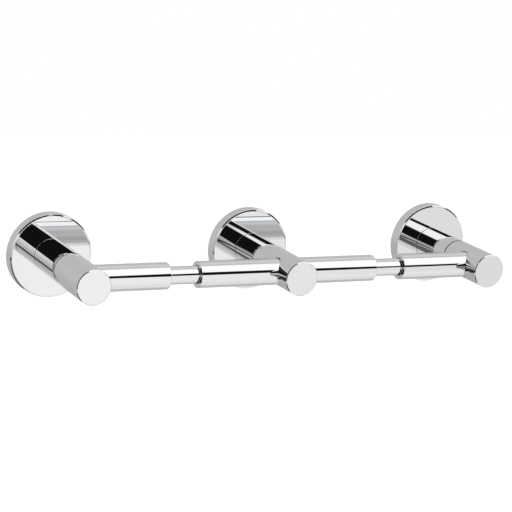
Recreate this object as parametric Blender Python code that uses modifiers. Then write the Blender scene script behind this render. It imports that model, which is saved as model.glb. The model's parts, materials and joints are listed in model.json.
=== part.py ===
# Double toilet roll holder: three wall posts and two telescopic rollers.
#
# Run it with: blender --background --python part.py
# Everything is in metres, with +Z up. The wall is the plane Y = 0 and the posts stand out along -Y.
# The origin is the centre of the middle post's bracket, on the wall. X runs along the row.

from math import cos, pi, radians, sin

import bpy
from mathutils import Vector

# Driving sizes of the rollers
SLEEVE_DIAMETER = 0.0169
SLEEVE_WALL = 0.0012
SLEEVE_ROUND = 0.0010
MOUTH_ROUND = 0.0006
PLAIN_SLEEVE_REACH = 0.0555
SPRING_SLEEVE_REACH = 0.0575
WORKING_GAP = 0.0200
SHOULDER_WALL = 0.0020
SLIDE_TUBE_DIAMETER = 0.0113
SLIDE_TUBE_WALL = 0.0009
ANCHORED_LENGTH = 0.0260
ANCHOR_BUSH_LENGTH = 0.0080
GUIDE_BUSH_LENGTH = 0.0070
OVERTRAVEL = 0.0040
STOP_COLLAR_LENGTH = 0.0040
STOP_SPIGOT_LENGTH = 0.0080
NOSE_LENGTH = 0.0030
PLUG_BODY_LENGTH = 0.0065
PLUG_HEAD_LENGTH = 0.0015
PLUG_DOME = 0.0008
PLUG_HEAD_INSET = 0.0006

# Driving sizes of the return springs
SPRING_WIRE = 0.0010
SPRING_ROOM = 0.0010
CLOSED_COIL_GAP = 0.00045
ACTIVE_COILS = 9

# Driving sizes of the posts
POST_SKIN = 0.00235
PROJECTION = 0.0842
POST_ROUND = 0.0006
ROLLER_SETBACK = 0.0204
END_POCKET_DEPTH = 0.0111
MIDDLE_POCKET_DEPTH = 0.0055

# Driving sizes of the flanges and wall brackets
FLANGE_DIAMETER = 0.0540
FLANGE_WALL = 0.0020
FLANGE_FACE = 0.0022
FLANGE_ROUND = 0.0007
HEAD_ROOM = 0.0015
BRACKET_DIAMETER = 0.0350
BRACKET_DEPTH = 0.0050
BRACKET_CHAMFER = 0.0006
GROOVE_DEPTH = 0.0010
GROOVE_FROM_WALL = 0.0028
WALL_SCREW_DIAMETER = 0.0040
WALL_SCREW_HEAD = 0.0076

# Driving sizes of the fasteners
POST_SCREW_DIAMETER = 0.0060
POST_SCREW_GRIP = 0.0140
POST_SCREW_HEAD = 0.0100
POST_SCREW_HEAD_HEIGHT = 0.0030
POST_SCREW_KEY = 0.0040
SET_SCREW_DIAMETER = 0.0030
SET_SCREW_KEY = 0.0015
SET_SCREW_INSET = 0.0004
POST_SCREW_KEY_DEPTH = 0.0016
SET_SCREW_KEY_DEPTH = 0.0020
PIN_DIAMETER = 0.0025
PIN_GRIP = 0.0030

# Clearances
FIT = 0.0003
RIM_TO_WALL = 0.0003
CUT_OVERRUN = 0.0020
BORE_OVERRUN = 0.0010

# Facets of the round pieces
FLANGE_STEPS = 36
POST_STEPS = 28
BRACKET_STEPS = 24
TUBE_STEPS = 28
BUSH_STEPS = 20
SMALL_STEPS = 12
HEX_SIDES = 6
ROUND_STEPS = 2
COIL_POINTS = 8
WIRE_RESOLUTION = 1
SHARP_ANGLE = radians(40)
MERGE_DISTANCE = 0.000005

# Size at which the guiding frames are drawn
FRAME_SIZE = 0.0100

# Sizes that follow from the driving sizes
SLEEVE_RADIUS = SLEEVE_DIAMETER / 2
SLEEVE_BORE = SLEEVE_RADIUS - SLEEVE_WALL
BUSH_RADIUS = SLEEVE_BORE - FIT
SLIDE_TUBE_RADIUS = SLIDE_TUBE_DIAMETER / 2
SLIDE_TUBE_BORE = SLIDE_TUBE_RADIUS - SLIDE_TUBE_WALL
SHOULDER_BORE = SLIDE_TUBE_RADIUS + FIT
SPIGOT_RADIUS = SLIDE_TUBE_BORE - FIT
SPRING_RADIUS = BUSH_RADIUS - SPRING_ROOM - SPRING_WIRE / 2
NOSE_RADIUS = SPRING_RADIUS * cos(pi / COIL_POINTS) - SPRING_WIRE / 2 - FIT

POCKET_RADIUS = SLEEVE_RADIUS + FIT
POST_RADIUS = POCKET_RADIUS + POST_SKIN
ROLLER_OUT = PROJECTION - ROLLER_SETBACK
END_POCKET_FLOOR = POST_RADIUS - END_POCKET_DEPTH
MIDDLE_POCKET_FLOOR = POST_RADIUS - MIDDLE_POCKET_DEPTH

# Along a roller, from the outer end of its plain sleeve
MOUTH = PLAIN_SLEEVE_REACH + WORKING_GAP
GUIDE_BUSH_START = SHOULDER_WALL + FIT
SLIDE_TUBE_END = MOUTH + GUIDE_BUSH_START + GUIDE_BUSH_LENGTH + OVERTRAVEL
STOP_COLLAR = SLIDE_TUBE_END + FIT
STOP_COLLAR_END = STOP_COLLAR + STOP_COLLAR_LENGTH
ROLLER_LENGTH = MOUTH + SPRING_SLEEVE_REACH

# The rollers at their working length set how far apart the posts are
POST_SPACING = END_POCKET_FLOOR + FIT + ROLLER_LENGTH + FIT + MIDDLE_POCKET_FLOOR

FLANGE_RADIUS = FLANGE_DIAMETER / 2
FLANGE_INSIDE = BRACKET_DEPTH + HEAD_ROOM
FLANGE_DEPTH = FLANGE_INSIDE + FLANGE_FACE
POST_FOOT = FLANGE_DEPTH + FIT
BRACKET_RADIUS = BRACKET_DIAMETER / 2
POST_SCREW_RADIUS = POST_SCREW_DIAMETER / 2
POST_SCREW_HOLE = POST_SCREW_RADIUS + FIT
POST_SCREW_END = POST_FOOT + POST_SCREW_GRIP
HEAD_FACE = FLANGE_INSIDE - FIT
HEAD_BACK = HEAD_FACE - POST_SCREW_HEAD_HEIGHT
RECESS_RADIUS = POST_SCREW_HEAD / 2 + FIT
RECESS_FLOOR = HEAD_BACK - FIT
WALL_SCREW_RADIUS = (RECESS_RADIUS + BRACKET_RADIUS - GROOVE_DEPTH) / 2
SET_SCREW_RADIUS = SET_SCREW_DIAMETER / 2

# The set screw's flat tip has the clearance as its radius, and stops as much again above the groove's bottom
SET_SCREW_TIP = BRACKET_RADIUS - GROOVE_DEPTH + FIT + FIT
SET_SCREW_END = FLANGE_RADIUS - SET_SCREW_INSET
PIN_RADIUS = PIN_DIAMETER / 2
PIN_OFFSET = (POST_SCREW_HOLE + POST_RADIUS) / 2

# Turned pieces are drawn along their own Z and then laid out of the wall or along the row
OUT_OF_WALL = (pi / 2, 0, 0)
UPRIGHT = (0, 0, 0)
TO_THE_RIGHT = (0, pi / 2, 0)
TO_THE_LEFT = (0, -pi / 2, 0)

# Finish: colour, metallic, roughness
CHROME = ((0.86, 0.87, 0.88), 1.0, 0.05)
ZINC = ((0.62, 0.62, 0.60), 1.0, 0.40)
STEEL = ((0.56, 0.56, 0.57), 1.0, 0.30)
BLACK_NYLON = ((0.02, 0.02, 0.02), 0.0, 0.45)
GREY_NYLON = ((0.35, 0.36, 0.37), 0.0, 0.50)


def clear_scene():
    for old in list(bpy.data.objects):
        bpy.data.objects.remove(old, do_unlink=True)


def new_collection(name):
    group = bpy.data.collections.new(name)
    bpy.context.scene.collection.children.link(group)
    return group


def give_finish(piece, finish):
    colour, metallic, roughness = finish
    material = bpy.data.materials.new(piece.name + "_finish")
    material.use_nodes = True
    shader = material.node_tree.nodes["Principled BSDF"]
    shader.inputs["Base Color"].default_value = (*colour, 1)
    shader.inputs["Metallic"].default_value = metallic
    shader.inputs["Roughness"].default_value = roughness
    piece.data.materials.append(material)


def empty(name, place, parent=None):
    """A frame that pieces hang from, on a post's axis or a roller's axis."""
    frame = bpy.data.objects.new(name, None)
    frame.location = place
    frame.parent = parent
    frame.empty_display_size = FRAME_SIZE
    HOLDER.objects.link(frame)
    return frame


def quarter(radius, height, size):
    """A rounded outer corner, from the flat top round to the side."""
    points = []
    for step in range(ROUND_STEPS + 1):
        angle = pi / 2 * (1 - step / ROUND_STEPS)
        points.append((radius - size + size * cos(angle), height - size + size * sin(angle)))
    return points


def lower_quarter(radius, height, size):
    """A rounded outer corner at the bottom, from the side round to the flat."""
    points = []
    for step in range(ROUND_STEPS + 1):
        angle = -pi / 2 * step / ROUND_STEPS
        points.append((radius - size + size * cos(angle), height + size + size * sin(angle)))
    return points


def turned(name, profile, steps, ring, collection):
    """Spin a profile of (radius, height) pairs round Z. A ring's profile closes on itself."""
    mesh = bpy.data.meshes.new(name)
    corners = [(radius, 0, height) for radius, height in profile]
    edges = [(i, i + 1) for i in range(len(corners) - 1)]
    if ring:
        edges.append((len(corners) - 1, 0))
    mesh.from_pydata(corners, edges, [])
    piece = bpy.data.objects.new(name, mesh)
    collection.objects.link(piece)
    screw = piece.modifiers.new("turn", "SCREW")
    screw.steps = steps
    screw.render_steps = steps
    screw.use_merge_vertices = True
    screw.merge_threshold = MERGE_DISTANCE
    return piece


def place(piece, parent, spot, direction, finish):
    piece.parent = parent
    piece.location = spot
    piece.rotation_euler = direction
    give_finish(piece, finish)
    return piece


def cutter(piece, parent, spot, direction):
    """Hide a cutting shape and put it where it cuts."""
    piece.parent = parent
    piece.location = spot
    piece.rotation_euler = direction
    piece.hide_render = True
    piece.display_type = "WIRE"
    return piece


def round_cutter(name, radius, low, high, steps, parent, spot, direction):
    rod = turned(name, [(0, high), (radius, high), (radius, low), (0, low)], steps, False, CUTTERS)
    return cutter(rod, parent, spot, direction)


def hex_cutter(name, across_flats, low, high, parent, spot, direction):
    corner = across_flats / 2 / cos(pi / HEX_SIDES)
    rod = turned(name, [(0, high), (corner, high), (corner, low), (0, low)], HEX_SIDES, False, CUTTERS)
    return cutter(rod, parent, spot, direction)


def cut(piece, *tools):
    for tool in tools:
        boolean = piece.modifiers.new("cut_" + tool.name, "BOOLEAN")
        boolean.operation = "DIFFERENCE"
        boolean.solver = "EXACT"
        boolean.object = tool


def shade_round(piece):
    """Keep the finished mesh, shaded smooth all over but at its corners."""
    finished = piece.evaluated_get(bpy.context.evaluated_depsgraph_get())
    mesh = bpy.data.meshes.new_from_object(finished)
    mesh.name = piece.name
    mesh.shade_smooth()
    mesh.set_sharp_from_angle(angle=SHARP_ANGLE)
    piece.modifiers.clear()
    piece.data = mesh


def make_bracket(side, frame):
    """Round plate on the wall, with a recess for the post screw's head and a groove for the set screw."""
    profile = [
        (0, RECESS_FLOOR),
        (RECESS_RADIUS, RECESS_FLOOR),
        (RECESS_RADIUS, BRACKET_DEPTH),
        (BRACKET_RADIUS - BRACKET_CHAMFER, BRACKET_DEPTH),
        (BRACKET_RADIUS, BRACKET_DEPTH - BRACKET_CHAMFER),
        (BRACKET_RADIUS, GROOVE_FROM_WALL + GROOVE_DEPTH),
        (BRACKET_RADIUS - GROOVE_DEPTH, GROOVE_FROM_WALL),
        (BRACKET_RADIUS, GROOVE_FROM_WALL - GROOVE_DEPTH),
        (BRACKET_RADIUS, 0),
        (0, 0),
    ]
    bracket = turned(side + "_wall_bracket", profile, BRACKET_STEPS, False, HOLDER)
    place(bracket, frame, (0, 0, 0), OUT_OF_WALL, ZINC)
    shank = WALL_SCREW_DIAMETER / 2
    head = WALL_SCREW_HEAD / 2
    hole = [
        (0, BRACKET_DEPTH + CUT_OVERRUN),
        (head, BRACKET_DEPTH + CUT_OVERRUN),
        (head, BRACKET_DEPTH),
        (shank, BRACKET_DEPTH - head + shank),
        (shank, -CUT_OVERRUN),
        (0, -CUT_OVERRUN),
    ]
    for hand, sign in (("left", -1), ("right", 1)):
        tool = turned(f"{side}_{hand}_wall_screw_hole", hole, SMALL_STEPS, False, CUTTERS)
        cut(bracket, cutter(tool, frame, (sign * WALL_SCREW_RADIUS, 0, 0), OUT_OF_WALL))


def make_flange(side, frame):
    """Shallow round cover over the bracket, with a hole for the post screw, one for the pin and one below."""
    profile = [(POST_SCREW_HOLE, FLANGE_DEPTH)]
    profile += quarter(FLANGE_RADIUS, FLANGE_DEPTH, FLANGE_ROUND)
    profile += [
        (FLANGE_RADIUS, RIM_TO_WALL),
        (FLANGE_RADIUS - FLANGE_WALL, RIM_TO_WALL),
        (FLANGE_RADIUS - FLANGE_WALL, FLANGE_INSIDE),
        (POST_SCREW_HOLE, FLANGE_INSIDE),
    ]
    flange = turned(side + "_flange", profile, FLANGE_STEPS, True, HOLDER)
    place(flange, frame, (0, 0, 0), OUT_OF_WALL, CHROME)
    pin_hole = round_cutter(side + "_flange_pin_hole", PIN_RADIUS + FIT, FLANGE_INSIDE - CUT_OVERRUN,
                            FLANGE_DEPTH + CUT_OVERRUN, SMALL_STEPS, frame, (0, 0, PIN_OFFSET), OUT_OF_WALL)
    screw_hole = round_cutter(side + "_flange_set_screw_hole", SET_SCREW_RADIUS + FIT,
                              -FLANGE_RADIUS - CUT_OVERRUN, -FLANGE_RADIUS + FLANGE_WALL + CUT_OVERRUN,
                              SMALL_STEPS, frame, (0, -GROOVE_FROM_WALL, 0), UPRIGHT)
    cut(flange, pin_hole, screw_hole)


def make_post(side, frame, pockets):
    """Straight round bar, tapped at its foot, with a round pocket for each roller that it carries."""
    bore_end = POST_SCREW_END + BORE_OVERRUN
    profile = [(0, PROJECTION)]
    profile += quarter(POST_RADIUS, PROJECTION, POST_ROUND)
    profile += [
        (POST_RADIUS, POST_FOOT),
        (POST_SCREW_HOLE, POST_FOOT),
        (POST_SCREW_HOLE, bore_end),
        (0, bore_end),
    ]
    post = turned(side + "_post", profile, POST_STEPS, False, HOLDER)
    place(post, frame, (0, 0, 0), OUT_OF_WALL, CHROME)
    pin_hole = round_cutter(side + "_post_pin_hole", PIN_RADIUS + FIT, POST_FOOT - CUT_OVERRUN,
                            POST_FOOT + PIN_GRIP + FIT, SMALL_STEPS, frame, (0, 0, PIN_OFFSET), OUT_OF_WALL)
    cut(post, pin_hole)
    for hand, floor in pockets:
        direction = TO_THE_RIGHT if hand == "right" else TO_THE_LEFT
        pocket = round_cutter(f"{side}_post_{hand}_pocket", POCKET_RADIUS, floor, POST_RADIUS + CUT_OVERRUN,
                              TUBE_STEPS, frame, (0, -ROLLER_OUT, 0), direction)
        cut(post, pocket)


def make_post_screw(side, frame):
    """Socket-head screw from inside the flange into the post's foot."""
    head = POST_SCREW_HEAD / 2
    profile = [
        (0, POST_SCREW_END),
        (POST_SCREW_RADIUS - FIT, POST_SCREW_END),
        (POST_SCREW_RADIUS, POST_SCREW_END - FIT),
        (POST_SCREW_RADIUS, HEAD_FACE),
        (head, HEAD_FACE),
        (head, HEAD_BACK + FIT),
        (head - FIT, HEAD_BACK),
        (0, HEAD_BACK),
    ]
    screw = turned(side + "_post_screw", profile, SMALL_STEPS, False, HOLDER)
    place(screw, frame, (0, 0, 0), OUT_OF_WALL, STEEL)
    key = hex_cutter(side + "_post_screw_key", POST_SCREW_KEY, HEAD_BACK - CUT_OVERRUN,
                     HEAD_BACK + POST_SCREW_KEY_DEPTH, frame, (0, 0, 0), OUT_OF_WALL)
    cut(screw, key)


def make_set_screw(side, frame):
    """Headless screw up through the flange's underside, with its cone in the bracket's groove."""
    cone = SET_SCREW_RADIUS - FIT
    profile = [
        (0, -SET_SCREW_TIP),
        (SET_SCREW_RADIUS - cone, -SET_SCREW_TIP),
        (SET_SCREW_RADIUS, -SET_SCREW_TIP - cone),
        (SET_SCREW_RADIUS, -SET_SCREW_END + FIT),
        (SET_SCREW_RADIUS - FIT, -SET_SCREW_END),
        (0, -SET_SCREW_END),
    ]
    screw = turned(side + "_set_screw", profile, SMALL_STEPS, False, HOLDER)
    spot = (0, -GROOVE_FROM_WALL, 0)
    place(screw, frame, spot, UPRIGHT, STEEL)
    key = hex_cutter(side + "_set_screw_key", SET_SCREW_KEY, -SET_SCREW_END - CUT_OVERRUN,
                     -SET_SCREW_END + SET_SCREW_KEY_DEPTH, frame, spot, UPRIGHT)
    cut(screw, key)


def make_pin(side, frame):
    """Pin that keeps the post from turning on its flange."""
    foot = FLANGE_INSIDE
    end = POST_FOOT + PIN_GRIP
    profile = [
        (0, end),
        (PIN_RADIUS - FIT, end),
        (PIN_RADIUS, end - FIT),
        (PIN_RADIUS, foot + FIT),
        (PIN_RADIUS - FIT, foot),
        (0, foot),
    ]
    pin = turned(side + "_locating_pin", profile, SMALL_STEPS, False, HOLDER)
    place(pin, frame, (0, 0, PIN_OFFSET), OUT_OF_WALL, STEEL)


def make_post_set(side, x, pockets):
    frame = empty(side + "_post_frame", (x, 0, 0))
    make_bracket(side, frame)
    make_flange(side, frame)
    make_post(side, frame, pockets)
    make_post_screw(side, frame)
    make_set_screw(side, frame)
    make_pin(side, frame)


def ring_profile(bore, radius, low, high):
    return [(bore, high), (radius, high), (radius, low), (bore, low)]


def make_end_plug(name, frame, direction, outer_end):
    """Domed plug in a sleeve's outer end. Its nose inside centres the spring."""
    head_radius = SLEEVE_RADIUS - PLUG_HEAD_INSET
    top = outer_end
    head = top - PLUG_HEAD_LENGTH
    body = head - PLUG_BODY_LENGTH
    dome_radius = (head_radius ** 2 + PLUG_DOME ** 2) / (2 * PLUG_DOME)
    profile = []
    for step in range(ROUND_STEPS + 1):
        radius = head_radius * step / ROUND_STEPS
        drop = dome_radius - (dome_radius ** 2 - radius ** 2) ** 0.5
        profile.append((radius, top - drop))
    profile += [
        (head_radius, head),
        (BUSH_RADIUS, head),
        (BUSH_RADIUS, body),
        (NOSE_RADIUS, body),
        (NOSE_RADIUS, body - NOSE_LENGTH),
        (0, body - NOSE_LENGTH),
    ]
    plug = turned(name, profile, BUSH_STEPS, False, HOLDER)
    place(plug, frame, (0, 0, 0), direction, GREY_NYLON)


def make_plain_half(roller, frame):
    """Left half: plain sleeve, slide tube and what holds them together. Zero is its outer end."""
    shoulder = PLAIN_SLEEVE_REACH
    sleeve = [(SHOULDER_BORE, shoulder)]
    sleeve += quarter(SLEEVE_RADIUS, shoulder, SLEEVE_ROUND)
    sleeve += [
        (SLEEVE_RADIUS, PLUG_HEAD_LENGTH + FIT),
        (SLEEVE_BORE, PLUG_HEAD_LENGTH + FIT),
        (SLEEVE_BORE, shoulder - SHOULDER_WALL),
        (SHOULDER_BORE, shoulder - SHOULDER_WALL),
    ]
    piece = turned(roller + "_plain_sleeve", sleeve, TUBE_STEPS, True, HOLDER)
    place(piece, frame, (0, 0, 0), TO_THE_RIGHT, CHROME)

    tube_start = shoulder - ANCHORED_LENGTH
    tube = ring_profile(SLIDE_TUBE_BORE, SLIDE_TUBE_RADIUS, tube_start, SLIDE_TUBE_END)
    piece = turned(roller + "_slide_tube", tube, TUBE_STEPS, True, HOLDER)
    place(piece, frame, (0, 0, 0), TO_THE_RIGHT, CHROME)

    anchor = ring_profile(SHOULDER_BORE, BUSH_RADIUS, tube_start, tube_start + ANCHOR_BUSH_LENGTH)
    piece = turned(roller + "_anchor_bush", anchor, BUSH_STEPS, True, HOLDER)
    place(piece, frame, (0, 0, 0), TO_THE_RIGHT, GREY_NYLON)

    stop = [
        (0, STOP_COLLAR_END + NOSE_LENGTH),
        (NOSE_RADIUS, STOP_COLLAR_END + NOSE_LENGTH),
        (NOSE_RADIUS, STOP_COLLAR_END),
        (BUSH_RADIUS, STOP_COLLAR_END),
        (BUSH_RADIUS, STOP_COLLAR),
        (SPIGOT_RADIUS, STOP_COLLAR),
        (SPIGOT_RADIUS, STOP_COLLAR - STOP_SPIGOT_LENGTH),
        (0, STOP_COLLAR - STOP_SPIGOT_LENGTH),
    ]
    piece = turned(roller + "_stop_bush", stop, BUSH_STEPS, False, HOLDER)
    place(piece, frame, (0, 0, 0), TO_THE_RIGHT, BLACK_NYLON)

    make_end_plug(roller + "_plain_end_plug", frame, TO_THE_LEFT, 0)


def make_spring_half(roller, frame):
    """Right half: sleeve that slides over the tube, guide bush, end plug and spring. Zero is the mouth."""
    outer_end = SPRING_SLEEVE_REACH
    sleeve_end = outer_end - PLUG_HEAD_LENGTH - FIT
    sleeve = [(SLEEVE_BORE, sleeve_end), (SLEEVE_RADIUS, sleeve_end)]
    sleeve += lower_quarter(SLEEVE_RADIUS, 0, MOUTH_ROUND)
    sleeve += [(SHOULDER_BORE, 0), (SHOULDER_BORE, SHOULDER_WALL), (SLEEVE_BORE, SHOULDER_WALL)]
    piece = turned(roller + "_spring_sleeve", sleeve, TUBE_STEPS, True, HOLDER)
    place(piece, frame, (0, 0, 0), TO_THE_RIGHT, CHROME)

    guide_end = GUIDE_BUSH_START + GUIDE_BUSH_LENGTH
    guide = ring_profile(SHOULDER_BORE, BUSH_RADIUS, GUIDE_BUSH_START, guide_end)
    piece = turned(roller + "_guide_bush", guide, BUSH_STEPS, True, HOLDER)
    place(piece, frame, (0, 0, 0), TO_THE_RIGHT, BLACK_NYLON)

    make_end_plug(roller + "_spring_end_plug", frame, TO_THE_RIGHT, outer_end)

    start = STOP_COLLAR_END - MOUTH
    end = outer_end - PLUG_HEAD_LENGTH - PLUG_BODY_LENGTH
    make_spring(roller + "_spring", frame, start + FIT, end - FIT)


def least_gap(points):
    """Smallest space in the wire's coils, measured between points at least half a turn apart."""
    apart = COIL_POINTS // 2
    pairs = ((one - other).length for i, one in enumerate(points) for other in points[i + apart:])
    return min(pairs) - SPRING_WIRE


def make_spring(name, frame, start, end):
    """Compression spring with one closed coil at each end, as one helical wire."""
    wire = SPRING_WIRE / 2
    closed_rise = SPRING_WIRE + CLOSED_COIL_GAP
    open_rise = (end - start - SPRING_WIRE - 2 * closed_rise) / ACTIVE_COILS
    rises = [closed_rise] + [open_rise] * ACTIVE_COILS + [closed_rise]
    points = [Vector((SPRING_RADIUS, 0, start + wire))]
    height = start + wire
    for rise in rises:
        for step in range(1, COIL_POINTS + 1):
            angle = 2 * pi * step / COIL_POINTS
            up = height + rise * step / COIL_POINTS
            points.append(Vector((SPRING_RADIUS * cos(angle), SPRING_RADIUS * sin(angle), up)))
        height += rise
    curve = bpy.data.curves.new(name, "CURVE")
    curve.dimensions = "3D"
    curve.bevel_depth = wire
    curve.bevel_resolution = WIRE_RESOLUTION
    curve.use_fill_caps = True
    spline = curve.splines.new("POLY")
    spline.points.add(len(points) - 1)
    for target, point in zip(spline.points, points):
        target.co = (*point, 1)
    spring = bpy.data.objects.new(name, curve)
    HOLDER.objects.link(spring)
    place(spring, frame, (0, 0, 0), TO_THE_RIGHT, STEEL)
    print(name, "least gap between its coils in mm:", round(least_gap(points) * 1000, 2))


def make_roller(roller, left_floor):
    """One telescopic roller, from the pocket floor on its left to the one on its right."""
    plain = empty(roller + "_plain_half", (left_floor + FIT, -ROLLER_OUT, 0))
    sprung = empty(roller + "_spring_half", (MOUTH, 0, 0), plain)
    make_plain_half(roller, plain)
    make_spring_half(roller, sprung)


clear_scene()
HOLDER = new_collection("double_toilet_roll_holder")
CUTTERS = new_collection("cutters")

make_post_set("left", -POST_SPACING, [("right", END_POCKET_FLOOR)])
make_post_set("middle", 0, [("left", MIDDLE_POCKET_FLOOR), ("right", MIDDLE_POCKET_FLOOR)])
make_post_set("right", POST_SPACING, [("left", END_POCKET_FLOOR)])
make_roller("left_roller", -POST_SPACING + END_POCKET_FLOOR)
make_roller("right_roller", MIDDLE_POCKET_FLOOR)

bpy.context.view_layer.update()
for round_piece in HOLDER.objects:
    if round_piece.type == "MESH":
        shade_round(round_piece)
print("post spacing in mm:", round(POST_SPACING * 1000, 2))
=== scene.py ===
# %% [markdown]
# # A double toilet roll holder in polished chrome
# Three round posts stand out from a wall, each on a round flange, and two telescopic rollers hang
# between them. A roller is a pair of chromed sleeves on a thinner slide tube, with a spring inside:
# press its ends together, and it comes out of the pockets in the posts so that a roll can be changed.
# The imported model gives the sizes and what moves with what. This lesson makes every piece again with
# clean curves, gives it its finish, and builds the studio that the chrome mirrors.

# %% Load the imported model
import json
from math import cos, hypot, pi, radians, sin, tan, tau

import bmesh
import bpy
from mathutils import Matrix, Vector


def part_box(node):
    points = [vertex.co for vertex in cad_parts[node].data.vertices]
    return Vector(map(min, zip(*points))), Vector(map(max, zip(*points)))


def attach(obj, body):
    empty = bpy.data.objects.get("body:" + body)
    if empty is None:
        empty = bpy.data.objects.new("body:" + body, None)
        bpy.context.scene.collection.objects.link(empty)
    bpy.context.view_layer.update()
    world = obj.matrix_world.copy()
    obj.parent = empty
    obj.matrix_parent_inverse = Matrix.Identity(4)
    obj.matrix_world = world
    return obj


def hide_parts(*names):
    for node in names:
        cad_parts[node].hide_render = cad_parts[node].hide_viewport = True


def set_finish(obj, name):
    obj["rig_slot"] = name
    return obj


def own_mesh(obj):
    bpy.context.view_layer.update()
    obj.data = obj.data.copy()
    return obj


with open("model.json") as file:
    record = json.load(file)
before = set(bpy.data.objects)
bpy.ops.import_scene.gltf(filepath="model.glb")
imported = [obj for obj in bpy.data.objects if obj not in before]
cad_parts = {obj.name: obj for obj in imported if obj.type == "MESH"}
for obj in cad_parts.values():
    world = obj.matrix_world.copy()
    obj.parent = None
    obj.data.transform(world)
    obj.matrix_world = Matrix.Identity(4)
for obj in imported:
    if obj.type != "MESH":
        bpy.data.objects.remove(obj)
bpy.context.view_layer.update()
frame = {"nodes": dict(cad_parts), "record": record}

MM = 0.001


def in_mm(length):
    return round(length / MM, 2)


def low(node):
    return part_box(node)[0]


def high(node):
    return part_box(node)[1]


def middle(node):
    return (low(node) + high(node)) / 2


def size(node):
    return high(node) - low(node)


SIDES = ("left", "middle", "right")
ROLLERS = ("left_roller", "right_roller")
POST_SPOT = {side: Vector((middle(side + "_flange").x, 0, 0)) for side in SIDES}
ROLLER_Y = middle("left_roller_slide_tube").y
ROLLER_AXIS = Vector((0, ROLLER_Y, 0))
print("posts at x in mm:", [in_mm(spot.x) for spot in POST_SPOT.values()])
print("roller axis out from the wall in mm:", in_mm(-ROLLER_Y))

# %% [markdown]
# ## The camera
# The photograph looks down on the row from the left, from a little over a metre away. A long lens
# keeps the three posts nearly the same size. The camera's three directions are written as one matrix:
# its columns are the camera's right, its up, and the way back from what it looks at.

# %% Set up the camera
EYE = Vector((-0.53955, -1.0735, 0.28919))
RIGHT = Vector((0.89645, -0.43519, 0.08363)).normalized()
UP = Vector((0.03152, 0.25087, 0.96751)).normalized()
LENS = 130.6
SENSOR = 36.0
SIGHT = 40.0


def make_camera():
    lens = bpy.data.cameras.new("camera")
    lens.sensor_width = SENSOR
    lens.lens = LENS
    lens.clip_end = SIGHT
    camera = bpy.data.objects.new("camera", lens)
    bpy.context.scene.collection.objects.link(camera)
    back = RIGHT.cross(UP)
    turn = Matrix((RIGHT, UP, back)).transposed()
    camera.matrix_world = Matrix.Translation(EYE) @ turn.to_4x4()
    bpy.context.scene.camera = camera


make_camera()
print("camera is", round(EYE.length, 3), "m from the middle post")

# %% [markdown]
# ## Turned pieces
# Nearly every piece here came off a lathe or out of a round mould. So each is a profile, a list of
# corners (radius, height), spun about an axis. Real metal has no knife edges: a small arc at each
# corner catches the light. A helper rounds the corners, and another spins the profile.

# %% Round the corners of a profile
ARC_STEPS = 6


def softened(corners, closed=False):
    """Corners are (radius, height, rounding). Each rounding becomes a short arc."""
    points = []
    for i, (radius, height, rounding) in enumerate(corners):
        here = Vector((radius, height))
        end_of_line = not closed and i in (0, len(corners) - 1)
        if rounding == 0 or end_of_line:
            points.append(here)
            continue
        back = (Vector(corners[i - 1][:2]) - here).normalized()
        onward = (Vector(corners[(i + 1) % len(corners)][:2]) - here).normalized()
        half = back.angle(onward) / 2
        centre = here + (back + onward).normalized() * rounding / sin(half)
        first = here + back * rounding / tan(half) - centre
        last = here + onward * rounding / tan(half) - centre
        for step in range(ARC_STEPS + 1):
            arm = first.slerp(last, step / ARC_STEPS)
            points.append(centre + arm.normalized() * rounding)
    return points


one_corner = softened([(0, 0, 0), (1, 0, 0.1), (1, 1, 0)])
print("points on a rounded corner:", len(one_corner) - 2)

# %% [markdown]
# The edge of a flat face is much of what the eye reads as polished metal, because it mirrors the
# whole room in a line a millimetre wide. Here it is two arcs with a bevel between them. On a flange the
# bevel lies nearly flat and the arc beside the face is wide. On a post the bevel is steep, and it
# mirrors a dark card as the fine dark outline of the end. Each point keeps its slope, for true shading.

# %% Bevel the edge of a face
EDGE_STEPS = 12


def bevelled_edge(radius, front, face_arc, bevel, side_arc, tilt):
    """An arc, a bevel and an arc from face to side, as (radius, height, slope)."""
    outward = Vector((sin(tilt), cos(tilt)))
    uphill = Vector((-cos(tilt), sin(tilt)))
    side_end = front - face_arc * (1 - cos(tilt)) - bevel * sin(tilt) - side_arc * cos(tilt)
    by_side = Vector((radius - side_arc, side_end))
    by_face = by_side + side_arc * outward + bevel * uphill - face_arc * outward
    edge = []
    for centre, arc, start, end in ((by_face, face_arc, 0, tilt), (by_side, side_arc, tilt, pi / 2)):
        for step in range(EDGE_STEPS + 1):
            slope = start + (end - start) * step / EDGE_STEPS
            point = centre + arc * Vector((sin(slope), cos(slope)))
            edge.append((point.x, point.y, slope))
    return edge


def corners_of(edge):
    return [(radius, height, 0) for radius, height, slope in edge]


print("points on a bevelled edge:", 2 * (EDGE_STEPS + 1))

# %% Spin a profile
STEPS = 160
LARGE_STEPS = 240
SLEEVE_STEPS = 192
SMALL_STEPS = 96
TINY_STEPS = 48
ON_AXIS = 1e-7


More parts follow.
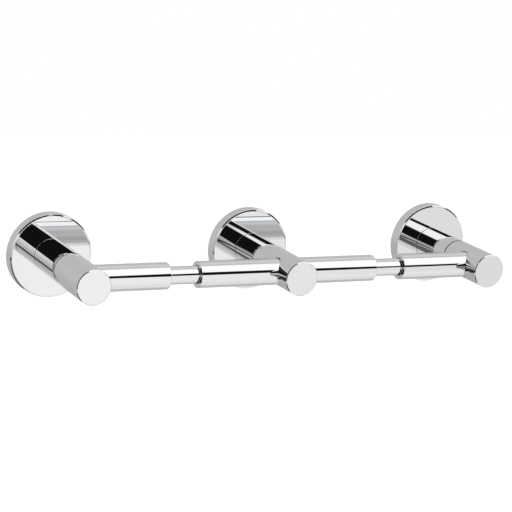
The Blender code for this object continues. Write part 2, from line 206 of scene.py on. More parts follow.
def spin(bm, profile, steps, closed):
    """Rings of points joined by quads. A point on the axis is one vertex, a flat end one face."""
    rings = []
    for point in profile:
        if point.x < ON_AXIS:
            rings.append([bm.verts.new((0, 0, point.y))])
            continue
        angles = [tau * step / steps for step in range(steps)]
        rings.append([bm.verts.new((point.x * cos(a), point.x * sin(a), point.y)) for a in angles])
    pairs = list(zip(rings, rings[1:]))
    if closed:
        pairs.append((rings[-1], rings[0]))
    for one, other in pairs:
        if len(one) == 1 and len(other) == 1:
            continue
        ring = one if len(one) > 1 else other
        tip = other[0] if len(other) == 1 else one[0]
        if len(one) > 1 and len(other) > 1:
            for i in range(steps):
                j = (i + 1) % steps
                bm.faces.new((one[i], one[j], other[j], other[i]))
        elif abs(ring[0].co.z - tip.co.z) < ON_AXIS:
            bm.faces.new(ring)
        else:
            for i in range(steps):
                bm.faces.new((ring[i], ring[(i + 1) % steps], tip))
    loose = [vertex for vertex in bm.verts if not vertex.link_faces]
    bmesh.ops.delete(bm, geom=loose, context="VERTS")
    bmesh.ops.recalc_face_normals(bm, faces=bm.faces)


print("facets round most pieces and round the large ones:", STEPS, LARGE_STEPS)

# %% [markdown]
# A mirror shows every fault in the shading. A flat face has to reflect as flat up to its rounded
# edge, so the weighted normal modifier lets the large faces decide which way a corner's light goes.
# Edges that stay sharp, such as the inside of a bore, are marked by their angle first.

# %% Turn a piece and shade it
OUT_OF_WALL = Matrix.Rotation(pi / 2, 4, "X")
TO_THE_RIGHT = Matrix.Rotation(pi / 2, 4, "Y")
TO_THE_LEFT = Matrix.Rotation(-pi / 2, 4, "Y")
UPRIGHT = Matrix.Identity(4)
SHARP = radians(35)


def new_piece(name, data):
    piece = bpy.data.objects.new(name, data)
    bpy.context.scene.collection.objects.link(piece)
    return piece


def piece_from(bm, name, placing):
    mesh = bpy.data.meshes.new(name)
    bm.to_mesh(mesh)
    bm.free()
    mesh.transform(placing)
    return new_piece(name, mesh)


def keep_shape(piece):
    """Apply the piece's modifiers to its mesh."""
    bpy.context.view_layer.update()
    finished = piece.evaluated_get(bpy.context.evaluated_depsgraph_get())
    mesh = bpy.data.meshes.new_from_object(finished)
    mesh.name = piece.name
    piece.modifiers.clear()
    piece.data = mesh


def shade(piece):
    """Smooth shading in which the large faces stay true."""
    piece.data.shade_smooth()
    piece.data.set_sharp_from_angle(angle=SHARP)
    modifier = piece.modifiers.new("true_faces", "WEIGHTED_NORMAL")
    modifier.mode = "FACE_AREA"
    modifier.weight = 100
    modifier.keep_sharp = True
    keep_shape(piece)


def turned(name, corners, spot, direction, closed=False, steps=STEPS):
    bm = bmesh.new()
    spin(bm, softened(corners, closed), steps, closed)
    return piece_from(bm, name, Matrix.Translation(spot) @ direction)


# %% [markdown]
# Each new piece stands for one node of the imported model, rides on that node's body, and takes the
# same material slot. One helper says all three. The list of made pieces is used at the end.

# %% Put a piece in its node's place
BODIES = frame["record"]["behaviour"]["bodies"]
NODE_BODY = {node: body for body, nodes in BODIES.items() for node in nodes}
made = []


def stands_for(piece, node, finish):
    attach(piece, NODE_BODY[node])
    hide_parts(node)
    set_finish(piece, finish)
    made.append(piece)
    return piece


print("nodes to replace:", len(NODE_BODY), "on bodies:", len(BODIES))

# %% [markdown]
# Holes and pockets are cut with booleans, as a drill would. The cut leaves a mirror-polished surface
# with corners in the middle of its old faces, and averaged normals would dent its reflections. So
# each face of a cut piece takes its normals from the true surface that it lies on: a cylinder, a
# bevelled edge or the ring of a rounded one.

# %% Cut holes
def drilled(piece, *cutters):
    for cutter in cutters:
        modifier = piece.modifiers.new("drill", "BOOLEAN")
        modifier.operation = "DIFFERENCE"
        modifier.solver = "EXACT"
        modifier.object = cutter
    keep_shape(piece)
    for cutter in cutters:
        bpy.data.objects.remove(cutter)


def drill(name, radius, bottom, top, spot, direction, steps=STEPS):
    corners = [(0, top, 0), (radius, top, 0), (radius, bottom, 0), (0, bottom, 0)]
    return turned(name, corners, spot, direction, steps=steps)


# %% Take the normals of the true surfaces
ON_SURFACE = 0.012 * MM


def cylinder(spot, axis, radius):
    """A surface is a function that gives a point's distance from it and the way that it faces there."""
    def surface(point):
        out = point - spot
        out -= axis * out.dot(axis)
        return abs(out.length - radius), out.normalized()
    return surface


def rounded_edge(spot, axis, radius, rounding):
    """The outer ring of a rounded edge. Spot is the centre of the ring that the arc turns about."""
    def surface(point):
        out = point - spot
        out -= axis * out.dot(axis)
        arm = point - (spot + out.normalized() * (radius - rounding))
        return abs(arm.length - rounding), arm.normalized()
    return surface


def edge_surface(spot, axis, edge):
    """The outside of an edge whose points are (radius, height, slope)."""
    def surface(point):
        out = point - spot
        height = out.dot(axis)
        out -= axis * height
        distances = [(hypot(out.length - radius, height - rise), slope) for radius, rise, slope in edge]
        distance, slope = min(distances)
        return distance, out.normalized() * sin(slope) + axis * cos(slope)
    return surface


def true_normals(piece, surfaces):
    mesh = piece.data
    mesh.shade_smooth()
    normals = [None] * len(mesh.loops)
    for face in mesh.polygons:
        points = [mesh.vertices[i].co for i in face.vertices]
        chosen = None
        for surface in surfaces:
            found = [surface(point) for point in points]
            if all(distance < ON_SURFACE for distance, normal in found):
                chosen = [normal for distance, normal in found]
                break
        if chosen is None:
            chosen = [face.normal] * len(points)
        elif chosen[0].dot(face.normal) < 0:
            chosen = [-normal for normal in chosen]
        for loop, normal in zip(face.loop_indices, chosen):
            normals[loop] = normal
    mesh.normals_split_custom_set(normals)


print("a point lies on a surface within mm:", in_mm(ON_SURFACE))

# %% [markdown]
# ## Flanges
# A flange is the shallow chromed cup that hides the bracket on the wall. Its face is flat and
# mirror-polished, so the post stands on its own reflection. It is turned with a wide, soft edge and a
# hole for the post's screw, and drilled for the pin and for the set screw below.

# %% Sizes of a flange
OUT = Vector((0, -1, 0))
ALONG = Vector((1, 0, 0))
RISE = Vector((0, 0, 1))
FLANGE_RADIUS = size("left_flange").x / 2
FLANGE_FRONT = -low("left_flange").y
FLANGE_BACK = -high("left_flange").y
FLANGE_WALL = 2.0 * MM
FLANGE_FACE = 2.2 * MM
FLANGE_EDGE = bevelled_edge(FLANGE_RADIUS, FLANGE_FRONT, face_arc=1.5 * MM, bevel=0.75 * MM,
                            side_arc=0.3 * MM, tilt=radians(20))
INNER_EDGE = 0.4 * MM
POST_SCREW_HOLE = 3.3 * MM
PIN_HEIGHT = middle("left_locating_pin").z
PIN_HOLE = 1.55 * MM
SET_SCREW_OUT = -middle("left_set_screw").y
SET_SCREW_HOLE = 1.8 * MM
OVERRUN = 2.0 * MM
print("flange across and deep in mm:", in_mm(2 * FLANGE_RADIUS), in_mm(FLANGE_FRONT))


# %% Make the flanges
def make_flange(side):
    spot = POST_SPOT[side]
    inside = FLANGE_RADIUS - FLANGE_WALL
    floor = FLANGE_FRONT - FLANGE_FACE
    corners = [
        (POST_SCREW_HOLE, FLANGE_FRONT, 0),
        *corners_of(FLANGE_EDGE),
        (FLANGE_RADIUS, FLANGE_BACK, INNER_EDGE),
        (inside, FLANGE_BACK, INNER_EDGE),
        (inside, floor, INNER_EDGE),
        (POST_SCREW_HOLE, floor, 0),
    ]
    name = side + "_flange_polished"
    flange = turned(name, corners, spot, OUT_OF_WALL, closed=True, steps=LARGE_STEPS)
    pin = drill("pin_hole", PIN_HOLE, floor - OVERRUN, FLANGE_FRONT + OVERRUN,
                spot + RISE * PIN_HEIGHT, OUT_OF_WALL)
    below = drill("set_screw_hole", SET_SCREW_HOLE, -FLANGE_RADIUS - OVERRUN, -inside + OVERRUN,
                  spot + OUT * SET_SCREW_OUT, UPRIGHT)
    drilled(flange, pin, below)
    true_normals(flange, [
        cylinder(spot, OUT, FLANGE_RADIUS),
        edge_surface(spot, OUT, FLANGE_EDGE),
        rounded_edge(spot + OUT * (FLANGE_BACK + INNER_EDGE), OUT, FLANGE_RADIUS, INNER_EDGE),
        cylinder(spot, OUT, inside),
        cylinder(spot + OUT * SET_SCREW_OUT, RISE, SET_SCREW_HOLE),
    ])
    return stands_for(flange, side + "_flange", "chrome")


flanges = {side: make_flange(side) for side in SIDES}
print("flange faces:", len(flanges["left"].data.polygons))

# %% [markdown]
# ## Posts
# A post is a straight round bar with a flat, polished end and a small bevelled edge. Each roller sits
# in a round pocket milled into the post's side. The end posts have one deep pocket, and the middle
# post has a shallower one on each side. Its foot stops a hair short of the flange, which is the
# thin dark ring round it. The two end posts have one more fine line, a joint about halfway out.

# %% Sizes of a post
POST_RADIUS = size("left_post").x / 2
POST_FRONT = -low("left_post").y
POST_FOOT = -high("left_post").y
POST_EDGE = bevelled_edge(POST_RADIUS, POST_FRONT, face_arc=0.2 * MM, bevel=0.6 * MM,
                          side_arc=0.2 * MM, tilt=radians(45))
FOOT_EDGE = 0.15 * MM
SLEEVE_RADIUS = size("left_roller_plain_sleeve").z / 2
FIT = 0.3 * MM
POCKET_RADIUS = SLEEVE_RADIUS + FIT
SCREW_END = -low("left_post_screw").y
TIP_ROOM = 1.0 * MM
BORE_END = SCREW_END + TIP_ROOM
PIN_END = -low("left_locating_pin").y + FIT
END_POCKET_DEPTH = 11.1 * MM
MIDDLE_POCKET_DEPTH = 5.5 * MM
END_POCKET = POST_RADIUS - END_POCKET_DEPTH
MIDDLE_POCKET = POST_RADIUS - MIDDLE_POCKET_DEPTH
POCKETS = {
    "left": [(TO_THE_RIGHT, END_POCKET)],
    "middle": [(TO_THE_LEFT, MIDDLE_POCKET), (TO_THE_RIGHT, MIDDLE_POCKET)],
    "right": [(TO_THE_LEFT, END_POCKET)],
}
GROOVE_OUT = 44.3 * MM
GROOVE_HALF = 0.5 * MM
GROOVE_DEPTH = 0.5 * MM
GROOVE_EDGE = 0.1 * MM
GROOVE = [
    (POST_RADIUS, GROOVE_OUT + GROOVE_HALF, GROOVE_EDGE),
    (POST_RADIUS - GROOVE_DEPTH, GROOVE_OUT, 0),
    (POST_RADIUS, GROOVE_OUT - GROOVE_HALF, GROOVE_EDGE),
]
JOINT_LINE = {"left": GROOVE, "middle": [], "right": GROOVE}
print("post across and out in mm:", in_mm(2 * POST_RADIUS), in_mm(POST_FRONT))


# %% Make the posts
def make_post(side):
    spot = POST_SPOT[side]
    corners = [
        (0, POST_FRONT, 0),
        *corners_of(POST_EDGE),
        *JOINT_LINE[side],
        (POST_RADIUS, POST_FOOT, FOOT_EDGE),
        (POST_SCREW_HOLE, POST_FOOT, 0),
        (POST_SCREW_HOLE, BORE_END, 0),
        (0, BORE_END, 0),
    ]
    post = turned(side + "_post_polished", corners, spot, OUT_OF_WALL, steps=LARGE_STEPS)
    cutters = [drill("pin_hole", PIN_HOLE, POST_FOOT - OVERRUN, PIN_END,
                     spot + RISE * PIN_HEIGHT, OUT_OF_WALL)]
    for direction, floor in POCKETS[side]:
        cutters.append(drill("pocket", POCKET_RADIUS, floor, POST_RADIUS + OVERRUN,
                             spot - OUT * ROLLER_Y, direction))
    drilled(post, *cutters)
    true_normals(post, [
        cylinder(spot, OUT, POST_RADIUS),
        edge_surface(spot, OUT, POST_EDGE),
        rounded_edge(spot + OUT * (POST_FOOT + FOOT_EDGE), OUT, POST_RADIUS, FOOT_EDGE),
        cylinder(spot - OUT * ROLLER_Y, ALONG, POCKET_RADIUS),
    ])
    return stands_for(post, side + "_post", "chrome")


posts = {side: make_post(side) for side in SIDES}
print("post faces:", len(posts["middle"].data.polygons))

# %% [markdown]
# ## Wall brackets
# The bracket is the die-cast plate that is screwed to the wall first. It has a recess for the post
# screw's head, two countersunk holes for wall screws, and a groove round it that the set screw's
# point grips. A casting has soft corners, so its arcs are larger than those of turned pieces.

# %% Make the wall brackets
BRACKET_RADIUS = size("left_wall_bracket").x / 2
BRACKET_DEPTH = -low("left_wall_bracket").y
RECESS_RADIUS = 5.3 * MM
RECESS_FLOOR = 2.9 * MM
GRIP_DEPTH = 1.0 * MM
WALL_SCREW_X = 10.9 * MM
WALL_SCREW_SHANK = 2.0 * MM
WALL_SCREW_HEAD = 3.8 * MM
COUNTERSINK_STEPS = 64
CAST_EDGE = 0.3 * MM
FRONT_EDGE = 0.6 * MM
GRIP_EDGE = 0.1 * MM
GRIP_ROOT = 0.15 * MM
BACK_EDGE = 0.2 * MM


def countersink(spot):
    slope = WALL_SCREW_HEAD - WALL_SCREW_SHANK
    corners = [
        (0, BRACKET_DEPTH + OVERRUN, 0),
        (WALL_SCREW_HEAD, BRACKET_DEPTH + OVERRUN, 0),
        (WALL_SCREW_HEAD, BRACKET_DEPTH, 0),
        (WALL_SCREW_SHANK, BRACKET_DEPTH - slope, 0),
        (WALL_SCREW_SHANK, -OVERRUN, 0),
        (0, -OVERRUN, 0),
    ]
    return turned("countersink", corners, spot, OUT_OF_WALL, steps=COUNTERSINK_STEPS)


def make_bracket(side):
    spot = POST_SPOT[side]
    corners = [
        (0, RECESS_FLOOR, 0),
        (RECESS_RADIUS, RECESS_FLOOR, CAST_EDGE),
        (RECESS_RADIUS, BRACKET_DEPTH, CAST_EDGE),
        (BRACKET_RADIUS, BRACKET_DEPTH, FRONT_EDGE),
        (BRACKET_RADIUS, SET_SCREW_OUT + GRIP_DEPTH, GRIP_EDGE),
        (BRACKET_RADIUS - GRIP_DEPTH, SET_SCREW_OUT, GRIP_ROOT),
        (BRACKET_RADIUS, SET_SCREW_OUT - GRIP_DEPTH, GRIP_EDGE),
        (BRACKET_RADIUS, 0, BACK_EDGE),
        (0, 0, 0),
    ]
    bracket = turned(side + "_wall_bracket_cast", corners, spot, OUT_OF_WALL)
    drilled(bracket, countersink(spot + ALONG * WALL_SCREW_X), countersink(spot - ALONG * WALL_SCREW_X))
    shade(bracket)
    stands_for(bracket, side + "_wall_bracket", "zinc")


for side in SIDES:
    make_bracket(side)
print("bracket across and deep in mm:", in_mm(2 * BRACKET_RADIUS), in_mm(BRACKET_DEPTH))

# %% [markdown]
# ## Screws and pins
# A screw thread is a ridge that climbs as it goes round. The thread here is a grid of points: each
# column is an angle, and each row is a step along the screw. The radius depends on where the point
# is between two turns of the ridge, so the ridge climbs by itself.

# %% Make a thread
THREAD_COLUMNS = 48
THREAD_ROWS_PER_TURN = 8
RIDGE_STEEPNESS = 1.6
RIDGE_START = 0.3


def thread_radius(turns, crest, root, run_out):
    """A ridge with a flat crest and root. Run-out from 0 to 1 sinks it at the screw's tip."""
    climb = 1 - abs(2 * (turns % 1.0) - 1)
    ridge = min(1.0, max(0.0, RIDGE_STEEPNESS * climb - RIDGE_START))
    return root + (crest - root) * ridge * run_out


def thread(bm, crest, root, pitch, start, end):
    """A threaded rod from start to end along Z, closed at both ends."""
    rows = int((end - start) / pitch * THREAD_ROWS_PER_TURN)
    rings = []
    for row in range(rows + 1):
        height = start + (end - start) * row / rows
        run_out = min(1.0, (end - height) / pitch, (height - start) / pitch)
        ring = []
        for column in range(THREAD_COLUMNS):
            share = column / THREAD_COLUMNS
            radius = thread_radius(height / pitch - share, crest, root, max(0.0, run_out))
            ring.append(bm.verts.new((radius * cos(tau * share), radius * sin(tau * share), height)))
        rings.append(ring)
    for one, other in zip(rings, rings[1:]):
        for i in range(THREAD_COLUMNS):
            j = (i + 1) % THREAD_COLUMNS
            bm.faces.new((one[i], one[j], other[j], other[i]))
    bm.faces.new(rings[0][::-1])
    bm.faces.new(rings[-1])


print("points on one turn of thread:", THREAD_COLUMNS * THREAD_ROWS_PER_TURN)

# %% [markdown]
# A post screw holds its post from inside the flange, and its low head has a hexagon socket. A set
# screw has no head: a key turns it from below, and its cone grips the bracket's groove. A pin is a
# plain rod that keeps a post from turning. A screw's head or point is turned, its rod is threaded, and
# the two are joined into one piece.

# %% Make the post screws, set screws and pins
HEX = 6
POST_SCREW_RADIUS = 3.0 * MM
POST_SCREW_ROOT = 2.55 * MM
POST_SCREW_PITCH = 1.0 * MM
POST_SCREW_HEAD = 5.0 * MM
POST_SCREW_KEY = 4.0 * MM
POST_KEY_DEPTH = 1.6 * MM
SCREW_HEAD_EDGE = 0.4 * MM
THREAD_OVERLAP = 0.5 * MM
SET_SCREW_RADIUS = 1.5 * MM
SET_SCREW_ROOT = 1.25 * MM
SET_SCREW_PITCH = 0.5 * MM
SET_SCREW_KEY = 1.5 * MM
SET_KEY_DEPTH = 2.0 * MM
SMALL_EDGE = 0.1 * MM
PIN_EDGE = 0.3 * MM


def hex_key(across_flats, bottom, top, spot, direction):
    return drill("hex_key", across_flats / 2 / cos(pi / HEX), bottom, top, spot, direction, steps=HEX)


def joined(name, parts):
    """One piece from several closed ones."""
    bm = bmesh.new()
    for part in parts:
        bm.from_mesh(part.data)
        bpy.data.objects.remove(part)
    return piece_from(bm, name, UPRIGHT)


def threaded_rod(name, crest, root, pitch, start, end, spot, direction):
    bm = bmesh.new()
    thread(bm, crest, root, pitch, start, end)
    bmesh.ops.recalc_face_normals(bm, faces=bm.faces)
    return piece_from(bm, name, Matrix.Translation(spot) @ direction)


def make_post_screw(side):
    spot = POST_SPOT[side]
    back = -high(side + "_post_screw").y
    face = FLANGE_FRONT - FLANGE_FACE - FIT
    shank_end = FLANGE_FRONT + FIT
    corners = [
        (0, shank_end, 0),
        (POST_SCREW_RADIUS - SMALL_EDGE, shank_end, SMALL_EDGE),
        (POST_SCREW_RADIUS - SMALL_EDGE, face, 0),
        (POST_SCREW_HEAD, face, SMALL_EDGE),
        (POST_SCREW_HEAD, back, SCREW_HEAD_EDGE),
        (0, back, 0),
    ]
    head = turned("head", corners, spot, OUT_OF_WALL, steps=SMALL_STEPS)
    drilled(head, hex_key(POST_SCREW_KEY, back - OVERRUN, back + POST_KEY_DEPTH, spot, OUT_OF_WALL))
    rod = threaded_rod("rod", POST_SCREW_RADIUS, POST_SCREW_ROOT, POST_SCREW_PITCH,
                       shank_end - THREAD_OVERLAP, SCREW_END, spot, OUT_OF_WALL)
    screw = joined(side + "_post_screw_threaded", [head, rod])
    shade(screw)
    stands_for(screw, side + "_post_screw", "steel")


def make_set_screw(side):
    node = side + "_set_screw"
    spot = POST_SPOT[side] + OUT * SET_SCREW_OUT
    tip = high(node).z
    end = low(node).z
    cone = SET_SCREW_RADIUS - FIT
    corners = [
        (0, tip, 0),
        (FIT, tip, 0),
        (SET_SCREW_ROOT, tip - cone, SMALL_EDGE),
        (SET_SCREW_ROOT, tip - 2 * cone, 0),
        (0, tip - 2 * cone, 0),
    ]
    point = turned("point", corners, spot, UPRIGHT, steps=TINY_STEPS)
    rod = threaded_rod("rod", SET_SCREW_RADIUS, SET_SCREW_ROOT, SET_SCREW_PITCH,
                       end, tip - 1.5 * cone, spot, UPRIGHT)
    drilled(rod, hex_key(SET_SCREW_KEY, end - OVERRUN, end + SET_KEY_DEPTH, spot, UPRIGHT))
    screw = joined(side + "_set_screw_threaded", [point, rod])
    shade(screw)
    stands_for(screw, node, "steel")


def make_pin(side):
    node = side + "_locating_pin"
    radius = size(node).x / 2
    corners = [
        (0, -low(node).y, 0),
        (radius, -low(node).y, PIN_EDGE),
        (radius, -high(node).y, PIN_EDGE),
        (0, -high(node).y, 0),
    ]
    spot = POST_SPOT[side] + RISE * PIN_HEIGHT
    pin = turned(side + "_locating_pin_ground", corners, spot, OUT_OF_WALL, steps=TINY_STEPS)
    shade(pin)
    stands_for(pin, node, "steel")


for make in (make_post_screw, make_set_screw, make_pin):
    for side in SIDES:
        make(side)
print("turns of thread on a post screw:", round((SCREW_END - FLANGE_FRONT) / POST_SCREW_PITCH, 1))

# %% [markdown]
# ## Roller sleeves and slide tube
# The left sleeve holds the thin slide tube fast, and the right sleeve slides over it. Both sleeves
# have a flat shoulder with a hole for the tube: the left one has a round edge, and the right one a
# tighter edge at its mouth. The tube and the shoulder's face mirror each other.

# %% Sizes along a roller
SLEEVE_WALL = 1.2 * MM
SLEEVE_BORE = SLEEVE_RADIUS - SLEEVE_WALL
SHOULDER_WALL = 2.0 * MM
SHOULDER_EDGE = 1.0 * MM
MOUTH_EDGE = 0.2 * MM
TUBE_RADIUS = size("left_roller_slide_tube").z / 2
TUBE_WALL = 0.9 * MM
SHOULDER_BORE = TUBE_RADIUS + FIT
FINE_EDGE = 0.15 * MM
print("sleeve and slide tube across in mm:", in_mm(2 * SLEEVE_RADIUS), in_mm(2 * TUBE_RADIUS))


# %% Make the sleeves and slide tubes
def shouldered_sleeve(name, open_end, shoulder, edge, direction, spot):
    """A tube that is open at one end and closed to a small hole at the other."""
    corners = [
        (SHOULDER_BORE, shoulder, FINE_EDGE),
        (SLEEVE_RADIUS, shoulder, edge),
        (SLEEVE_RADIUS, open_end, FINE_EDGE),
        (SLEEVE_BORE, open_end, FINE_EDGE),
        (SLEEVE_BORE, shoulder - SHOULDER_WALL, 0),
        (SHOULDER_BORE, shoulder - SHOULDER_WALL, 0),
    ]
    sleeve = turned(name, corners, spot, direction, closed=True, steps=SLEEVE_STEPS)
    shade(sleeve)
    return sleeve


def make_sleeves(roller):
    node = roller + "_plain_sleeve"
    plain = shouldered_sleeve(node + "_polished", low(node).x, high(node).x, SHOULDER_EDGE,
                              TO_THE_RIGHT, ROLLER_AXIS)
    stands_for(plain, node, "chrome")
    node = roller + "_spring_sleeve"
    sprung = shouldered_sleeve(node + "_polished", -high(node).x, -low(node).x, MOUTH_EDGE,
                               TO_THE_LEFT, ROLLER_AXIS)
    stands_for(sprung, node, "chrome")


def ring_piece(node, suffix, bore, radius, edge, finish, steps=STEPS):
    """A plain ring or tube as long as its node."""
    start = low(node).x
    end = high(node).x
    corners = [(bore, end, edge), (radius, end, edge), (radius, start, edge), (bore, start, edge)]
    piece = turned(node + suffix, corners, ROLLER_AXIS, TO_THE_RIGHT, True, steps)
    shade(piece)
    stands_for(piece, node, finish)


for roller in ROLLERS:
    make_sleeves(roller)
    ring_piece(roller + "_slide_tube", "_polished", TUBE_RADIUS - TUBE_WALL, TUBE_RADIUS,
               FINE_EDGE, "chrome", steps=SLEEVE_STEPS)
print("slide tube is", in_mm(size("left_roller_slide_tube").x), "mm long")

# %% [markdown]
# ## Nylon bushes and end plugs
# Moulded nylon keeps the metal tubes from rattling. A grey bush anchors the slide tube in the left
# sleeve, a black one guides it in the right sleeve, and a black stop on its end keeps the halves
# together. A grey plug with a low dome closes each end of the roller. Moulded edges are soft.

# %% Make the bushes
BUSH_RADIUS = SLEEVE_BORE - FIT
MOULD_EDGE = 0.3 * MM
SPRING_WIRE = 1.0 * MM
SPRING_PLAY = 1.0 * MM
SPRING_RADIUS = BUSH_RADIUS - SPRING_PLAY - SPRING_WIRE / 2
NOSE_RADIUS = 4.2 * MM
NOSE_LENGTH = 3.0 * MM
NOSE_EDGE = 0.5 * MM
NOSE_ROOT = 0.2 * MM
STOP_SPIGOT = 8.0 * MM


def make_stop_bush(roller):
    node = roller + "_stop_bush"
    spigot_end = low(node).x
    nose_end = high(node).x
    collar = spigot_end + STOP_SPIGOT
    collar_end = nose_end - NOSE_LENGTH
    spigot = TUBE_RADIUS - TUBE_WALL - FIT
    corners = [
        (0, nose_end, 0),
        (NOSE_RADIUS, nose_end, NOSE_EDGE),
        (NOSE_RADIUS, collar_end, NOSE_ROOT),
        (BUSH_RADIUS, collar_end, MOULD_EDGE),
        (BUSH_RADIUS, collar, MOULD_EDGE),
        (spigot, collar, NOSE_ROOT),
        (spigot, spigot_end, NOSE_EDGE),
        (0, spigot_end, 0),
    ]
    bush = turned(node + "_moulded", corners, ROLLER_AXIS, TO_THE_RIGHT, steps=SMALL_STEPS)
    shade(bush)
    stands_for(bush, node, "black_nylon")


for roller in ROLLERS:
    ring_piece(roller + "_anchor_bush", "_moulded", SHOULDER_BORE, BUSH_RADIUS, MOULD_EDGE,
               "grey_nylon", steps=SMALL_STEPS)
    ring_piece(roller + "_guide_bush", "_moulded", SHOULDER_BORE, BUSH_RADIUS, MOULD_EDGE,
               "black_nylon", steps=SMALL_STEPS)
    make_stop_bush(roller)
print("bushes are", in_mm(2 * BUSH_RADIUS), "mm across")

# %% Make the end plugs
PLUG_HEAD = 1.5 * MM
PLUG_BODY = 6.5 * MM
PLUG_DOME = 0.8 * MM
DOME_STEPS = 10


def make_end_plug(node, direction, sign):
    top = sign * (low(node).x if sign < 0 else high(node).x)
    head_radius = size(node).z / 2
    ball = (head_radius ** 2 + PLUG_DOME ** 2) / (2 * PLUG_DOME)
    corners = []
    for step in range(DOME_STEPS + 1):
        radius = head_radius * step / DOME_STEPS
        drop = ball - (ball ** 2 - radius ** 2) ** 0.5
        corners.append((radius, top - drop, 0))
    neck = top - PLUG_HEAD
    body_end = neck - PLUG_BODY
    nose_end = body_end - NOSE_LENGTH
    corners += [
        (head_radius, neck, SMALL_EDGE),
        (BUSH_RADIUS, neck, 0),
        (BUSH_RADIUS, body_end, MOULD_EDGE),
        (NOSE_RADIUS, body_end, NOSE_ROOT),
        (NOSE_RADIUS, nose_end, NOSE_EDGE),
        (0, nose_end, 0),
    ]
    plug = turned(node + "_moulded", corners, ROLLER_AXIS, direction, steps=SMALL_STEPS)
    shade(plug)
    stands_for(plug, node, "grey_nylon")


for roller in ROLLERS:
    make_end_plug(roller + "_plain_end_plug", TO_THE_LEFT, -1)
    make_end_plug(roller + "_spring_end_plug", TO_THE_RIGHT, 1)
print("plug heads are", in_mm(size("left_roller_plain_end_plug").z), "mm across")

# %% [markdown]
# ## Return springs
# A compression spring is one wire wound round the axis. Its first and last turns lie close, and the
# turns between are open. The wire is a curve with a round bevel, made into a mesh.

# %% Make the springs
WIRE_POINTS = 32
ACTIVE_TURNS = 9
END_GAP = 0.45 * MM
CLOSED_RISE = SPRING_WIRE + END_GAP
BEVEL_STEPS = 4


def coil_points(start, end):
    open_rise = (end - start - SPRING_WIRE - 2 * CLOSED_RISE) / ACTIVE_TURNS
    rises = [CLOSED_RISE] + [open_rise] * ACTIVE_TURNS + [CLOSED_RISE]
    points = []
    along = start + SPRING_WIRE / 2
    for rise in rises:
        for step in range(WIRE_POINTS):
            angle = tau * step / WIRE_POINTS
            place = along + rise * step / WIRE_POINTS
            points.append((place, ROLLER_Y + SPRING_RADIUS * sin(angle), -SPRING_RADIUS * cos(angle)))
        along += rise
    points.append((along, ROLLER_Y, -SPRING_RADIUS))
    return points


def make_spring(roller):
    node = roller + "_spring"
    points = coil_points(low(node).x, high(node).x)
    curve = bpy.data.curves.new(node, "CURVE")
    curve.dimensions = "3D"
    curve.bevel_depth = SPRING_WIRE / 2
    curve.bevel_resolution = BEVEL_STEPS
    curve.use_fill_caps = True
    spline = curve.splines.new("POLY")
    spline.points.add(len(points) - 1)
    for target, point in zip(spline.points, points):
        target.co = (*point, 1)
    wire = new_piece(node + "_wire", curve)
    bpy.context.view_layer.update()
    mesh = bpy.data.meshes.new_from_object(wire.evaluated_get(bpy.context.evaluated_depsgraph_get()))
    bpy.data.objects.remove(wire)
    mesh.shade_smooth()
    mesh.set_sharp_from_angle(angle=SHARP)
    spring = new_piece(node + "_wound", mesh)
    stands_for(spring, node, "steel")
    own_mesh(spring)


for roller in ROLLERS:
    make_spring(roller)
print("spring length at rest in mm:", in_mm(size("left_roller_spring").x))

# %% [markdown]
# ## Small helpers for node trees
# Materials, the floor and the studio are all node trees. A few helpers keep them readable: one adds a
# node with its settings, one does a sum on numbers or sockets, and one makes a group with named
# inputs and outputs, which is how an effect is built once and used in several materials. Others make
# a noise, a ramp of greys and a blend of two numbers.

# %% Helpers for nodes
def add(tree, kind, **settings):
    node = tree.nodes.new(kind)
    for name, value in settings.items():
        setattr(node, name, value)
    return node


def feed(tree, socket, value):
    """Put a number in a socket, or link another socket to it."""
    if isinstance(value, bpy.types.NodeSocket):
        tree.links.new(value, socket)
    else:
        socket.default_value = value


def sums(tree, operation, *values, clamp=False):
    node = add(tree, "ShaderNodeMath", operation=operation, use_clamp=clamp)
    for socket, value in zip(node.inputs, values):
        feed(tree, socket, value)
    return node.outputs[0]


def new_group(name, inputs, outputs):
    """Inputs are (name, kind, value), outputs are (name, kind). Returns the tree and its two ends."""
    tree = bpy.data.node_groups.new(name, "ShaderNodeTree")
    for label, kind, value in inputs:
        socket = tree.interface.new_socket(label, in_out="INPUT", socket_type="NodeSocket" + kind)
        if value is not None:
            socket.default_value = value
    for label, kind in outputs:
        tree.interface.new_socket(label, in_out="OUTPUT", socket_type="NodeSocket" + kind)
    return tree, add(tree, "NodeGroupInput").outputs, add(tree, "NodeGroupOutput").inputs


def use_group(tree, group, **values):
    node = add(tree, "ShaderNodeGroup", node_tree=group)
    for name, value in values.items():
        feed(tree, node.inputs[name], value)
    return node


def noise(tree, vector, scale, detail):
    node = add(tree, "ShaderNodeTexNoise")
    tree.links.new(vector, node.inputs["Vector"])
    feed(tree, node.inputs["Scale"], scale)
    feed(tree, node.inputs["Detail"], detail)
    return node.outputs[0]


def steps_of_grey(tree, value, stops):
    """A ramp whose stops are (place from 0 to 1, tone). A grey's red is its tone."""
    node = add(tree, "ShaderNodeValToRGB")
    ramp = node.color_ramp
    while len(ramp.elements) < len(stops):
        ramp.elements.new(0.5)
    for element, (place, tone) in zip(ramp.elements, stops):
        element.position = place
        element.color = (tone, tone, tone, 1)
    tree.links.new(value, node.inputs["Fac"])
    parts = add(tree, "ShaderNodeSeparateColor")
    tree.links.new(node.outputs["Color"], parts.inputs["Color"])
    return parts.outputs["Red"]


def blend_to(tree, first, second, share):
    """First where the share is 0, and second where it is 1."""
    node = add(tree, "ShaderNodeMix", data_type="FLOAT")
    feed(tree, node.inputs["Factor"], share)
    feed(tree, node.inputs["A"], first)
    feed(tree, node.inputs["B"], second)
    return node.outputs["Result"]


